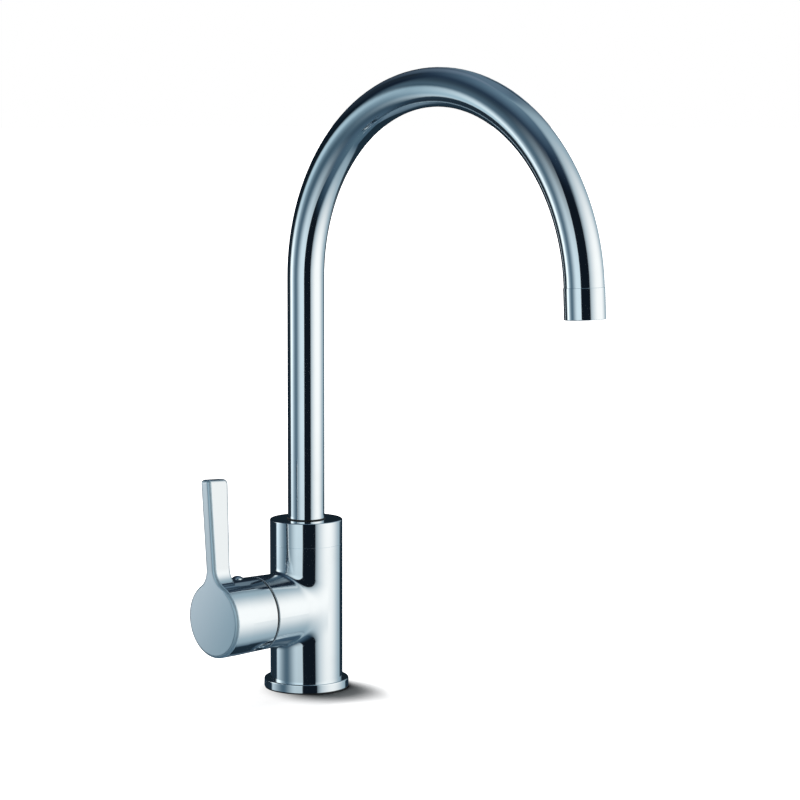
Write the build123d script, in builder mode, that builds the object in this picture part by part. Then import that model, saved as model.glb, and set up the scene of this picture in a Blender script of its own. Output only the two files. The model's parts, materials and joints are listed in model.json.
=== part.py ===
# Three way filtered water tap with a gooseneck spout.
#
# All sizes are millimetres. +Z is up, the deck is z = 0 and the body stands on
# it round the Z axis. The spout reaches along -Y and the lever barrel along -X.
# Sizes named ..._distance run along the barrel from the body's axis. Sizes named
# ..._drop run along the outlet from the end of the arch.
import os
from math import cos, hypot, pi, radians, sin

from build123d import *

os.makedirs("parts", exist_ok=True)

# ------------------------------------------------------------------ clearances
static_gap = 0.05
running_gap = 0.05
seal_gap = 0.02
open_gap = 0.3

# ------------------------------------------------------------- body, outside
body_r = 24.0
body_top_z = 112.6
collar_height = 16.2
top_edge = 0.8
bore_edge = 0.45
hairline = 0.15
seal_height = 1.0
ring_height = 5.4
ring_overhang = 4.0
ring_edge = 0.9
foot_step = 1.0
seal_inset = 0.4
seal_land = 4.0

# ------------------------------------------------------------ barrel, outside
barrel_z = 54.7
barrel_r = 24.2
stub_taper = 0.8
face_flare = 0.5
seam_distance = 44.6
seam_gap = 1.3
seam_edge = 0.45
junction_fillet = 2.2
cup_length = 35.05
face_edge = 2.4
lever_foot_depth = 14.0
lever_tip_depth = 16.9
lever_width = 9.0
lever_tip_r = 91.0
lever_tip_drop = 0.9
lever_tip_corner = 3.5
lever_neck_r = 13.0
lever_lean = 4.8

# Domed cap behind the lever's foot.
cap_setback = 8.6
cap_r = 4.0
cap_height = 1.8
cap_lift = 0.12
cap_seat_r = 3.3
cap_seat_depth = 2.4
cap_stem_length = 5.0

# --------------------------------------------------------------- spout, outside
tube_r = 12.15
tube_wall = 1.2
spring_z = 272.0
arch_r = 123.3
arch_angle = 177.05
outlet_step = 0.25
outlet_length = 18.9
outlet_edge = 0.5

# --------------------------------------------------------- underside and ports
inlet_r = 5.0
inlet_depth = 12.0
stud_r = 4.0
stud_depth = 16.0
stud_x = -12.0
passage_r = 3.2
side_port_y = 9.5
side_port_drop = 5.0
side_port_reach = 8.0
filter_inlet_x = 8.0
filter_port_drop = 8.0
filter_port_rise = 8.0
filter_passage_r = 2.5
mixed_port_y = -8.0
mixed_port_rise = 6.0

# ------------------------------------------------------------------- cartridge
cavity_r = 17.6
cavity_depth = 30.2
base_plate = 6.0
disc_height = 4.0
disc_rim = 0.45
port_r = 2.8
port_seal_wall = 0.95
port_seal_height = 1.5
peg_r = 2.0
peg_length = 3.5
peg_places = [(-12.0, 6.0), (14.3, 0.5)]
housing_wall = 4.65
neck_length = 9.0
neck_r = 10.0
nut_thread_step = 2.4
nut_relief = 1.0
nut_head = 3.0
nut_head_step = 0.8
spindle_r = 8.0
spindle_seal_drop = 1.4
spindle_groove_width = 2.4
spindle_groove_depth = 2.0
spindle_edge = 0.6
carrier_height = 4.0
drive_lug_width = 4.0
drive_lug_height = 1.5
stop_reach = 1.1
stop_half_angle = 10.0
stop_play = 0.5
lever_limit = 90.0
square_side = 8.0
square_setback = 9.1
water_pocket_inner = 0.45
water_pocket_outer = 0.85
water_pockets = [(20, 140), (200, 60)]

# -------------------------------------------------------------- handle, inside
cup_wall = 2.3
cup_end_wall = 5.2
hub_r = 9.0
hub_setback = 4.8
square_relief = 1.5
boss_r = 4.6
screw_r = 2.5
screw_length = 8.0
screw_key_r = 1.45

# ----------------------------------------------------------------- spout root
collar_wall = 2.6
collar_lid = 5.0
upper_glide = 2.0
lower_glide = 1.5
flange_inset = 3.2
flange_height = 3.95
glide_seat_step = 0.7
stop_wall_step = 1.1
stop_lug_inset = 0.5
stop_lug_height = 1.2
stop_lug_half_angle = 8.0
swivel_limit = 120.0
socket_step = 3.2
socket_floor_wall = 7.7
socket_chamber = 2.0
bush_wall = 1.45
bush_spigot_length = 19.5
spout_groove_width = 2.5
spout_groove_depth = 2.1
spout_groove_shares = (0.13, 0.49)

# --------------------------------------------------- filtered water inner line
nipple_r = 4.0
nipple_depth = 6.0
line_r = 3.0
line_bore_r = 2.0
plug_end_gap = 1.0
plug_length = 9.0
plug_stem_length = 12.0
plug_bore_r = 1.2
plug_groove_rise = 2.0
plug_groove_width = 1.6
plug_groove_depth = 1.4

# --------------------------------------------------------------------- outlet
outlet_spigot_length = 5.0
outlet_spigot_play = 0.15
outlet_spigot_wall = 1.2
outlet_wall = 1.4
aerator_seat_drop = 2.0
aerator_end_inset = 0.5
aerator_wall = 1.5
aerator_lip = 1.2
aerator_lip_height = 3.4
aerator_edge = 0.5
washer_height = 1.5
washer_width = 5.0
nozzle_r = 4.3
nozzle_top = 2.0
nozzle_end_inset = 1.1
nozzle_edge = 0.6
line_socket_depth = 8.0
screen_top_gap = 0.7
screen_height = 0.8
screen_hole_r = 0.45
screen_hole_pitch = 1.7
screen_row_shares = (0.22, 0.48, 0.74)
straightener_height = 6.0
straightener_hole_r = 0.75
straightener_hole_pitch = 2.1
straightener_row_shares = (0.27, 0.68)

# ---------------------------------------------------------------- worked sizes
foot_r = body_r - foot_step
ring_r = body_r + ring_overhang
ring_top_z = seal_height + ring_height
collar_seam_z = body_top_z - collar_height
spigot_r = body_r - collar_wall

stub_end = seam_distance - seam_gap / 2
rim_distance = seam_distance + seam_gap / 2
face_r = barrel_r + face_flare
face_distance = rim_distance + cup_length
blade_back = face_distance - lever_foot_depth
lever_taper = (lever_tip_depth - lever_foot_depth) / (lever_tip_r - face_r)
cap_distance = blade_back - cap_setback
cap_crown_r = barrel_r + face_flare * (cap_distance - rim_distance) / (blade_back - rim_distance)

cavity_floor = stub_end - cavity_depth
side_inlet_x = side_port_reach - cavity_floor
port_seal_r = port_r + open_gap + port_seal_wall
disc_r = hypot(side_port_y, side_port_drop) + port_r + disc_rim
disc_start = cavity_floor + base_plate
moving_start = disc_start + disc_height + running_gap
carrier_start = moving_start + disc_height
carrier_end = carrier_start + carrier_height
carrier_middle = carrier_start + carrier_height / 2
housing_shoulder = carrier_end + open_gap + housing_wall
neck_end = housing_shoulder + neck_length
nut_thread_r = cavity_r + nut_thread_step
nut_end = stub_end + nut_head
spindle_groove = housing_shoulder + spindle_seal_drop

cup_inner_r = barrel_r - cup_wall
cup_floor = face_distance - cup_end_wall
hub_start = nut_end + hub_setback
square_end = cup_floor - square_setback
square_hole = square_side + 2 * static_gap

collar_ceiling_z = body_top_z - collar_lid
flange_top_z = collar_ceiling_z - upper_glide - 2 * running_gap
flange_foot_z = flange_top_z - flange_height
glide_seat_z = flange_foot_z - running_gap - lower_glide
spigot_top_z = flange_top_z - stop_lug_height - open_gap
stop_wall_z = collar_ceiling_z - open_gap
flange_r = spigot_r - flange_inset
glide_seat_r = flange_r + glide_seat_step
stop_wall_r = flange_r + stop_wall_step
stop_lug_r = spigot_r - stop_lug_inset
socket_r = flange_r - socket_step
socket_floor_z = barrel_z + cavity_r + socket_floor_wall
bush_foot_z = socket_floor_z + socket_chamber
bush_spigot_r = tube_r - tube_wall - static_gap
bush_bore_r = bush_spigot_r - bush_wall
bush_top_z = flange_top_z + bush_spigot_length
spout_groove_z = [bush_foot_z + share * (flange_foot_z - bush_foot_z) for share in spout_groove_shares]

nipple_foot_z = socket_floor_z - nipple_depth
plug_foot_z = nipple_foot_z + plug_end_gap
plug_top_z = plug_foot_z + plug_length
plug_stem_top_z = plug_top_z + plug_stem_length
plug_groove_z = plug_foot_z + plug_groove_rise

outlet_r = tube_r + outlet_step
outlet_spigot_r = tube_r - tube_wall - outlet_spigot_play
outlet_bore_r = outlet_spigot_r - outlet_spigot_wall
aerator_r = outlet_r - outlet_wall
aerator_top = aerator_seat_drop + washer_height
aerator_end = outlet_length - aerator_end_inset
aerator_lip_start = aerator_end - aerator_lip_height
screen_r = aerator_r - aerator_wall - 2 * static_gap
screen_start = aerator_top + screen_top_gap
straightener_start = aerator_lip_start - straightener_height
nozzle_end = outlet_length - nozzle_end_inset
line_end = line_socket_depth - nozzle_top

# Water ports on the cavity floor, seen from outside: right of centre, above centre.
ports = [
    (side_port_y, -side_port_drop),
    (-side_port_y, -side_port_drop),
    (0.0, -filter_port_drop),
    (-mixed_port_y, mixed_port_rise),
    (0.0, filter_port_rise),
]
cold_port, hot_port, filter_in_port, mixed_port, filter_out_port = ports
mains_inlets = [(side_inlet_x, side_port_y), (side_inlet_x, -side_port_y)]


def barrel_plane(distance, lean=0.0):
    """Plane across the barrel, facing outwards; its y axis is up, or up the leaning lever."""
    angle = radians(lean)
    return Plane(
        origin=(-distance, 0, barrel_z),
        x_dir=(0, -cos(angle), sin(angle)),
        z_dir=(-1, 0, 0),
    )


def lever_plane(distance):
    """Plane across the barrel that turns with the lever."""
    return barrel_plane(distance, lever_lean)


def lever_side():
    """Plane through the leaning lever's middle, its x axis along the barrel and its y axis up."""
    return Plane(origin=(0, 0, barrel_z), x_dir=(-1, 0, 0), z_dir=-lever_plane(0).x_dir)


def level(height):
    """Level plane at a height above the deck."""
    return Plane.XY.offset(height)


def crown_plane(radius):
    """Plane across the grub screw's axis, at a radius from the barrel's axis."""
    angle = radians(lever_lean)
    return Plane(
        origin=(-cap_distance, radius * sin(angle), barrel_z + radius * cos(angle)),
        x_dir=(1, 0, 0),
        z_dir=(0, sin(angle), cos(angle)),
    )


def outlet_plane(drop):
    """Plane across the outlet, facing the way the water leaves."""
    angle = radians(arch_angle)
    y = -arch_r + arch_r * cos(angle) - drop * sin(angle)
    z = spring_z + arch_r * sin(angle) + drop * cos(angle)
    return Plane(origin=(0, y, z), x_dir=(1, 0, 0), z_dir=(0, -sin(angle), cos(angle)))


def disc(plane, radius, height, mode=Mode.ADD, places=((0, 0),)):
    """Round discs or holes of one size that start on a plane, in the open part."""
    with BuildSketch(plane) as section:
        with Locations(*places):
            Circle(radius)
    extrude(section.sketch, amount=height, mode=mode)


def ring(plane, inner, outer, height, mode=Mode.ADD):
    """Flat ring or groove that starts on a plane, in the open part."""
    with BuildSketch(plane) as section:
        Circle(outer)
        Circle(inner, mode=Mode.SUBTRACT)
    extrude(section.sketch, amount=height, mode=mode)


def sector(plane, inner, outer, middle, half, height, mode=Mode.ADD):
    """Part of a ring, from middle - half to middle + half degrees, in the open part."""
    with BuildSketch(plane) as section:
        with BuildLine() as outline:
            low = CenterArc((0, 0), inner, middle - half, 2 * half)
            high = CenterArc((0, 0), outer, middle - half, 2 * half)
            Line(low @ 0, high @ 0)
            Line(low @ 1, high @ 1)
        make_face(outline.edges())
    extrude(section.sketch, amount=height, mode=mode)


def square(plane, side, height, mode=Mode.ADD):
    """Square bar or hole that starts on a plane, in the open part."""
    with BuildSketch(plane) as section:
        Rectangle(side, side)
    extrude(section.sketch, amount=height, mode=mode)


def o_ring(plane, inner, outer):
    """Sealing ring of round section, centred on a plane, in the open part."""
    section_r = (outer - inner) / 2
    with Locations(plane):
        Torus(inner + section_r, section_r)


def hole_rows(shares, pitch):
    """Radius and number of holes of each row between the nozzle and the screen's rim."""
    rows = [nozzle_r + share * (screen_r - nozzle_r) for share in shares]
    return [(row_r, int(2 * pi * row_r / pitch)) for row_r in rows]


def round_edges(part, axis, end):
    """Circular edges at one end of a part, the widest last."""
    return part.edges().filter_by(GeomType.CIRCLE).group_by(axis)[end].sort_by(SortBy.RADIUS)


def finish(part, label):
    """Names a sub-part and writes it to its own file."""
    part.label = label
    export_step(part, "parts/" + label + ".step")


# ------------------------------------------------------------------------ body
with BuildPart() as tap_body:
    disc(level(ring_top_z), body_r, collar_seam_z - ring_top_z)
    with Locations(barrel_plane(0)):
        Cone(barrel_r - stub_taper, barrel_r, stub_end, align=(Align.CENTER, Align.CENTER, Align.MIN))
    junction = tap_body.edges().filter_by(lambda e: e.geom_type not in (GeomType.CIRCLE, GeomType.LINE))
    fillet(junction, junction_fillet)
    chamfer(tap_body.faces().sort_by(Axis.X)[0].edges(), seam_edge)
    chamfer(tap_body.faces().sort_by(Axis.Z)[-1].edges(), hairline)
    disc(level(seal_height), foot_r, ring_height)
    # Threaded spigot for the spout collar; its high side is the spout's stop.
    disc(level(collar_seam_z), spigot_r - static_gap, spigot_top_z - collar_seam_z)
    stop_half = 180 - swivel_limit - stop_lug_half_angle - stop_play
    stop_height = stop_wall_z - spigot_top_z
    sector(level(spigot_top_z), stop_wall_r, spigot_r - static_gap, 270, stop_half, stop_height)
    # Spout socket and the seat of its lower glide ring.
    disc(level(glide_seat_z), glide_seat_r, stop_wall_z - glide_seat_z, Mode.SUBTRACT)
    disc(level(socket_floor_z), socket_r, glide_seat_z - socket_floor_z, Mode.SUBTRACT)
    # Cartridge cavity, the wider thread of its nut and its peg holes.
    disc(barrel_plane(cavity_floor), cavity_r, cavity_depth, Mode.SUBTRACT)
    nut_seat = housing_shoulder - nut_relief
    disc(barrel_plane(nut_seat), nut_thread_r, stub_end - nut_seat, Mode.SUBTRACT)
    peg_hole = peg_length + open_gap
    disc(barrel_plane(cavity_floor - peg_hole), peg_r, peg_hole, Mode.SUBTRACT, peg_places)
    # Threaded sockets in the underside: two mains inlets, one filtered, one stud.
    inlets = mains_inlets + [(filter_inlet_x, 0)]
    disc(level(seal_height), inlet_r, inlet_depth, Mode.SUBTRACT, inlets)
    disc(level(seal_height), stud_r, stud_depth, Mode.SUBTRACT, [(stud_x, 0)])
    # Cold and hot passages.
    side_height = barrel_z - side_port_drop - seal_height
    disc(level(seal_height), passage_r, side_height, Mode.SUBTRACT, mains_inlets)
    side_run = cavity_floor + side_inlet_x
    disc(barrel_plane(-side_inlet_x), passage_r, side_run, Mode.SUBTRACT, [cold_port, hot_port])
    # Filtered water passage from its inlet.
    filter_height = barrel_z - filter_port_drop - seal_height
    disc(level(seal_height), filter_passage_r, filter_height, Mode.SUBTRACT, [(filter_inlet_x, 0)])
    filter_run = cavity_floor + filter_inlet_x
    disc(barrel_plane(-filter_inlet_x), filter_passage_r, filter_run, Mode.SUBTRACT, [filter_in_port])
    # Mixed water passage up to the spout socket.
    mixed_z = barrel_z + mixed_port_rise
    disc(barrel_plane(-side_inlet_x), passage_r, side_run, Mode.SUBTRACT, [mixed_port])
    mixed_place = [(side_inlet_x, mixed_port_y)]
    disc(level(mixed_z), passage_r, socket_floor_z - mixed_z, Mode.SUBTRACT, mixed_place)
    # Filtered water passage up to the nipple of the inner line.
    filter_z = barrel_z + filter_port_rise
    disc(barrel_plane(0), filter_passage_r, cavity_floor, Mode.SUBTRACT, [filter_out_port])
    disc(level(filter_z), filter_passage_r, socket_floor_z - filter_z, Mode.SUBTRACT)
    disc(level(nipple_foot_z), nipple_r, nipple_depth, Mode.SUBTRACT)
finish(tap_body.part, "tap_body")

with BuildPart() as spout_collar:
    ring(level(collar_seam_z), tube_r + open_gap, body_r, collar_height)
    fillet(round_edges(spout_collar, Axis.Z, -1)[-1], top_edge)
    chamfer(round_edges(spout_collar, Axis.Z, 0)[-1], hairline)
    chamfer(round_edges(spout_collar, Axis.Z, -1)[0], bore_edge)
    disc(level(collar_seam_z), spigot_r, collar_ceiling_z - collar_seam_z, Mode.SUBTRACT)
finish(spout_collar.part, "spout_collar")

with BuildPart() as base_ring:
    ring(level(seal_height), foot_r + static_gap, ring_r, ring_height)
    fillet(round_edges(base_ring, Axis.Z, -1)[-1], ring_edge)
finish(base_ring.part, "base_ring")

with BuildPart() as base_seal:
    ring(level(0), foot_r - seal_land, ring_r - seal_inset, seal_height)
finish(base_seal.part, "base_seal")

# ------------------------------------------------------------------- cartridge
with BuildPart() as cartridge_base:
    disc(barrel_plane(cavity_floor), cavity_r - open_gap, base_plate)
    disc(barrel_plane(cavity_floor - peg_length), peg_r - static_gap, peg_length, Mode.ADD, peg_places)
    disc(barrel_plane(cavity_floor), port_r, base_plate, Mode.SUBTRACT, ports)
    disc(barrel_plane(cavity_floor), port_seal_r, port_seal_height, Mode.SUBTRACT, ports)
finish(cartridge_base.part, "cartridge_base")

with BuildPart() as port_seals:
    disc(barrel_plane(cavity_floor), port_seal_r - seal_gap, port_seal_height, Mode.ADD, ports)
    disc(barrel_plane(cavity_floor), port_r + open_gap, port_seal_height, Mode.SUBTRACT, ports)
finish(port_seals.part, "port_seals")

with BuildPart() as fixed_disc:
    disc(barrel_plane(disc_start), disc_r, disc_height)
    disc(barrel_plane(disc_start), port_r, disc_height, Mode.SUBTRACT, ports)
finish(fixed_disc.part, "fixed_ceramic_disc")

with BuildPart() as cartridge_housing:
    disc(barrel_plane(disc_start), cavity_r - open_gap, housing_shoulder - disc_start)
    disc(barrel_plane(housing_shoulder), neck_r, neck_length)
    chamber_end = carrier_end + open_gap
    disc(barrel_plane(disc_start), disc_r + running_gap, chamber_end - disc_start, Mode.SUBTRACT)
    disc(barrel_plane(disc_start), spindle_r + running_gap, neck_end - disc_start, Mode.SUBTRACT)
    # Arc slot that the carrier's stop turns in.
    slot_half = lever_limit + stop_half_angle + stop_play
    slot_r = disc_r + stop_reach + open_gap
    slot_start = barrel_plane(carrier_start)
    sector(slot_start, spindle_r, slot_r, 270, slot_half, carrier_height + open_gap, Mode.SUBTRACT)
finish(cartridge_housing.part, "cartridge_housing")

with BuildPart() as cartridge_nut:
    disc(barrel_plane(housing_shoulder), nut_thread_r - static_gap, stub_end - housing_shoulder)
    with BuildSketch(barrel_plane(stub_end)):
        RegularPolygon(nut_thread_r - nut_head_step, 6)
    extrude(amount=nut_head)
    disc(barrel_plane(housing_shoulder), neck_r + static_gap, nut_end - housing_shoulder, Mode.SUBTRACT)
finish(cartridge_nut.part, "cartridge_nut")

# -------------------------------------------------- parts that turn on the lever
with BuildPart() as moving_disc:
    disc(lever_plane(moving_start), disc_r - open_gap, disc_height)
    for start_angle, size_angle in water_pockets:
        middle_angle = start_angle + size_angle / 2
        pocket_inner = water_pocket_inner * disc_r
        pocket_outer = water_pocket_outer * disc_r
        sector(
            lever_plane(moving_start),
            pocket_inner,
            pocket_outer,
            middle_angle,
            size_angle / 2,
            disc_height / 2,
            Mode.SUBTRACT,
        )
    with BuildSketch(lever_plane(carrier_start - drive_lug_height)):
        Rectangle(2 * disc_r, drive_lug_width)
    extrude(amount=drive_lug_height, mode=Mode.SUBTRACT)
finish(moving_disc.part, "moving_ceramic_disc")

with BuildPart() as disc_carrier:
    disc(lever_plane(carrier_start), disc_r - open_gap, carrier_height)
    with BuildSketch(lever_plane(carrier_start - drive_lug_height)):
        Rectangle(2 * disc_r, drive_lug_width - 2 * static_gap)
        Circle(disc_r - open_gap, mode=Mode.INTERSECT)
    extrude(amount=drive_lug_height)
    stop_outer = disc_r + stop_reach
    sector(lever_plane(carrier_start), spindle_r, stop_outer, 270, stop_half_angle, carrier_height)
    square(lever_plane(carrier_middle), square_hole, carrier_height, Mode.SUBTRACT)
finish(disc_carrier.part, "disc_carrier")

with BuildPart() as spindle:
    square(lever_plane(carrier_middle), square_side, square_end - carrier_middle)
    disc(lever_plane(carrier_end), spindle_r, neck_end - carrier_end)
    groove_floor_r = spindle_r - spindle_groove_depth
    ring(lever_plane(spindle_groove), groove_floor_r, spindle_r, spindle_groove_width, Mode.SUBTRACT)
    chamfer(spindle.faces().sort_by(Axis.X)[0].edges(), spindle_edge)
finish(spindle.part, "cartridge_spindle")

with BuildPart() as spindle_seal:
    o_ring(
        lever_plane(spindle_groove + spindle_groove_width / 2),
        spindle_r - spindle_groove_depth + seal_gap,
        spindle_r + running_gap - seal_gap,
    )
finish(spindle_seal.part, "spindle_seal")

with BuildPart() as handle:
    # Lever and front face: one keyhole outline run back along the barrel.
    with BuildSketch(lever_plane(face_distance - lever_tip_depth)):
        Circle(face_r)
        with Locations((0, lever_tip_r / 2)):
            Rectangle(lever_width, lever_tip_r)
        fillet(vertices().filter_by(lambda v: abs(Vector(*v).length - face_r) < static_gap), lever_neck_r)
    extrude(amount=lever_tip_depth)
    # Side outline: the lever deepens from its foot to its tip.
    with BuildSketch(lever_side()) as side_outline:
        with BuildLine():
            tip_back = (face_distance - lever_tip_depth, lever_tip_r - lever_tip_drop)
            tip = Line((face_distance, lever_tip_r), tip_back)
            back = Line(tip @ 1, (blade_back + 2 * lever_taper * face_r, -face_r))
            foot = Line(back @ 1, (face_distance, -face_r))
            Line(foot @ 1, tip @ 0)
        make_face()
    extrude(side_outline.sketch, amount=face_r, both=True, mode=Mode.INTERSECT)
    across = Axis((0, 0, 0), lever_side().z_dir)
    fillet(handle.edges().filter_by(across).sort_by(Axis.X)[-1], lever_tip_corner)
    smooth = handle.edges().filter_by(across).sort_by(Axis.X)[1:]
    fillet(handle.edges().filter_by(Axis.X, reverse=True) - smooth, face_edge)
    # Cup that carries the stub's line on to the face.
    disc(barrel_plane(blade_back), face_r, lever_foot_depth / 2)
    with Locations(barrel_plane(rim_distance)):
        Cone(barrel_r, face_r, blade_back - rim_distance, align=(Align.CENTER, Align.CENTER, Align.MIN))
    chamfer(round_edges(handle, Axis.X, -1)[-1], seam_edge)
    # Hollow of the cup, with a hub for the spindle and a boss for the grub screw.
    disc(barrel_plane(rim_distance), cup_inner_r, cup_floor - rim_distance, Mode.SUBTRACT)
    disc(barrel_plane(hub_start), hub_r, cup_floor - hub_start)
    disc(crown_plane(hub_r / 2), boss_r, cup_inner_r + cup_wall / 2 - hub_r / 2)
    square(lever_plane(hub_start), square_hole, square_end + square_relief - hub_start, Mode.SUBTRACT)
    disc(crown_plane(0), screw_r, face_r + cap_height, Mode.SUBTRACT)
    disc(crown_plane(cap_crown_r - cap_seat_depth), cap_seat_r + static_gap, 2 * cap_seat_depth, Mode.SUBTRACT)
finish(handle.part, "handle")

with BuildPart() as grub_screw:
    screw_foot = square_side / 2 + static_gap
    disc(crown_plane(screw_foot), screw_r - static_gap, screw_length)
    with BuildSketch(crown_plane(screw_foot + screw_length / 2)):
        RegularPolygon(screw_key_r, 6)
    extrude(amount=screw_length, mode=Mode.SUBTRACT)
finish(grub_screw.part, "grub_screw")

with BuildPart() as index_cap:
    stem_foot = cap_crown_r - cap_seat_depth - cap_stem_length
    disc(crown_plane(stem_foot), screw_r - static_gap, cap_stem_length)
    disc(crown_plane(cap_crown_r - cap_seat_depth), cap_seat_r, cap_seat_depth + cap_lift)
    dome_r = (cap_r**2 + cap_height**2) / (2 * cap_height)
    with BuildSketch(crown_plane(cap_crown_r + cap_lift).rotated((90, 0, 0))):
        with BuildLine():
            rim = Line((0, 0), (cap_r, 0))
            rise = RadiusArc(rim @ 1, (0, cap_height), -dome_r)
            Line(rise @ 1, rim @ 0)
        make_face()
    crown = crown_plane(cap_crown_r)
    revolve(axis=Axis(crown.origin, crown.z_dir))
finish(index_cap.part, "index_cap")

# ----------------------------------------------------------------- spout root
with BuildPart() as lower_glide_ring:
    ring(level(glide_seat_z), socket_r, glide_seat_r - static_gap, lower_glide)
finish(lower_glide_ring.part, "lower_glide_ring")

with BuildPart() as upper_glide_ring:
    ring(level(flange_top_z + running_gap), tube_r + open_gap, flange_r, upper_glide)
finish(upper_glide_ring.part, "upper_glide_ring")

with BuildPart() as spout_bush:
    disc(level(bush_foot_z), socket_r - running_gap, flange_foot_z - bush_foot_z)
    disc(level(flange_foot_z), flange_r, flange_height)
    disc(level(flange_top_z), bush_spigot_r, bush_spigot_length)
    lug_foot = level(flange_top_z - stop_lug_height)
    sector(lug_foot, socket_r, stop_lug_r, 90, stop_lug_half_angle, stop_lug_height)
    disc(level(bush_foot_z), bush_bore_r, bush_top_z - bush_foot_z, Mode.SUBTRACT)
    for groove_z in spout_groove_z:
        ring(level(groove_z), socket_r - spout_groove_depth, socket_r, spout_groove_width, Mode.SUBTRACT)
finish(spout_bush.part, "spout_bush")

for number, groove_z in enumerate(spout_groove_z, 1):
    with BuildPart() as spout_seal:
        o_ring(
            level(groove_z + spout_groove_width / 2),
            socket_r - spout_groove_depth + seal_gap,
            socket_r - seal_gap,
        )
    finish(spout_seal.part, "spout_seal_" + str(number))

# ----------------------------------------------------------------------- spout
with BuildPart() as spout_tube:
    with BuildLine(Plane.YZ):
        Line((0, flange_top_z), (0, spring_z))
        CenterArc((-arch_r, spring_z), arch_r, 0, arch_angle)
    with BuildSketch(level(flange_top_z)):
        Circle(tube_r)
        Circle(tube_r - tube_wall, mode=Mode.SUBTRACT)
    sweep()
finish(spout_tube.part, "spout_tube")

with BuildPart() as outlet_collar:
    disc(outlet_plane(0), outlet_r, outlet_length)
    fillet(round_edges(outlet_collar, Axis.Z, 0)[-1], outlet_edge)
    chamfer(round_edges(outlet_collar, Axis.Z, -1)[-1], hairline)
    disc(outlet_plane(-outlet_spigot_length), outlet_spigot_r, outlet_spigot_length + aerator_seat_drop)
    bore_length = outlet_spigot_length + outlet_length
    disc(outlet_plane(-outlet_spigot_length), outlet_bore_r, bore_length, Mode.SUBTRACT)
    disc(outlet_plane(aerator_seat_drop), aerator_r, outlet_length - aerator_seat_drop, Mode.SUBTRACT)
finish(outlet_collar.part, "outlet_collar")

with BuildPart() as aerator_washer:
    washer_r = aerator_r - static_gap
    ring(outlet_plane(aerator_seat_drop), washer_r - washer_width, washer_r, washer_height)
finish(aerator_washer.part, "aerator_washer")

with BuildPart() as aerator_housing:
    shell_r = aerator_r - static_gap
    ring(outlet_plane(aerator_top), screen_r + static_gap, shell_r, aerator_end - aerator_top)
    ring(outlet_plane(aerator_lip_start), screen_r - aerator_lip, shell_r, aerator_lip_height)
    chamfer(round_edges(aerator_housing, Axis.Z, 0)[0], aerator_edge)
finish(aerator_housing.part, "aerator_housing")

with BuildPart() as aerator_screen:
    ring(outlet_plane(screen_start), nozzle_r + static_gap, screen_r, screen_height)
    with BuildSketch(outlet_plane(screen_start)):
        for row_r, holes in hole_rows(screen_row_shares, screen_hole_pitch):
            with PolarLocations(row_r, holes):
                Circle(screen_hole_r)
    extrude(amount=screen_height, mode=Mode.SUBTRACT)
finish(aerator_screen.part, "aerator_screen")

with BuildPart() as straightener:
    ring(outlet_plane(straightener_start), nozzle_r + static_gap, screen_r, straightener_height)
    with BuildSketch(outlet_plane(straightener_start)):
        for row_r, holes in hole_rows(straightener_row_shares, straightener_hole_pitch):
            with PolarLocations(row_r, holes):
                RegularPolygon(straightener_hole_r, 6)
    extrude(amount=straightener_height, mode=Mode.SUBTRACT)
finish(straightener.part, "flow_straightener")

with BuildPart() as filter_nozzle:
    disc(outlet_plane(-nozzle_top), nozzle_r, nozzle_top + nozzle_end)
    disc(outlet_plane(-nozzle_top), line_r + static_gap, line_socket_depth, Mode.SUBTRACT)
    disc(outlet_plane(-nozzle_top), line_bore_r, nozzle_top + nozzle_end, Mode.SUBTRACT)
    chamfer(round_edges(filter_nozzle, Axis.Z, 0)[-1], nozzle_edge)
finish(filter_nozzle.part, "filter_nozzle")

# --------------------------------------------------- filtered water inner line
with BuildPart() as filter_line:
    with BuildLine(Plane.YZ):
        Line((0, plug_top_z), (0, spring_z))
        arch = CenterArc((-arch_r, spring_z), arch_r, 0, arch_angle)
        PolarLine(arch @ 1, line_end, direction=arch % 1)
    with BuildSketch(level(plug_top_z)):
        Circle(line_r)
        Circle(line_bore_r, mode=Mode.SUBTRACT)
    sweep()
finish(filter_line.part, "filter_line")

with BuildPart() as filter_plug:
    disc(level(plug_foot_z), nipple_r - running_gap, plug_length)
    disc(level(plug_top_z), line_bore_r - static_gap, plug_stem_length)
    disc(level(plug_foot_z), plug_bore_r, plug_stem_top_z - plug_foot_z, Mode.SUBTRACT)
    plug_groove_r = nipple_r - plug_groove_depth
    ring(level(plug_groove_z), plug_groove_r, nipple_r, plug_groove_width, Mode.SUBTRACT)
finish(filter_plug.part, "filter_plug")

with BuildPart() as plug_seal:
    o_ring(
        level(plug_groove_z + plug_groove_width / 2),
        nipple_r - plug_groove_depth + seal_gap,
        nipple_r - seal_gap,
    )
finish(plug_seal.part, "plug_seal")
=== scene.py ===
import json
import math

import bmesh
import bpy
from bpy.props import FloatProperty, FloatVectorProperty, PointerProperty
from mathutils import Matrix, Vector


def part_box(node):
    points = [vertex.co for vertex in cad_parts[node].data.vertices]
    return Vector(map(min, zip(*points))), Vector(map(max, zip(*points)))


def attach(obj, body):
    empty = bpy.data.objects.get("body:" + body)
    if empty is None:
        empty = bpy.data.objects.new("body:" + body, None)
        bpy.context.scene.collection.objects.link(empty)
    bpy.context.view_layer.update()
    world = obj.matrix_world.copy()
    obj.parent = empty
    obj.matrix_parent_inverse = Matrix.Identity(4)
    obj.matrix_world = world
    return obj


bl_info = {
    "name": "Three way filtered water tap",
    "version": (1, 0, 0),
    "blender": (4, 5, 0),
    "location": "3D View > Sidebar > Tap",
    "description": "Finishes, fine parts and studio of a three way filtered water tap",
    "category": "Object",
}

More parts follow.
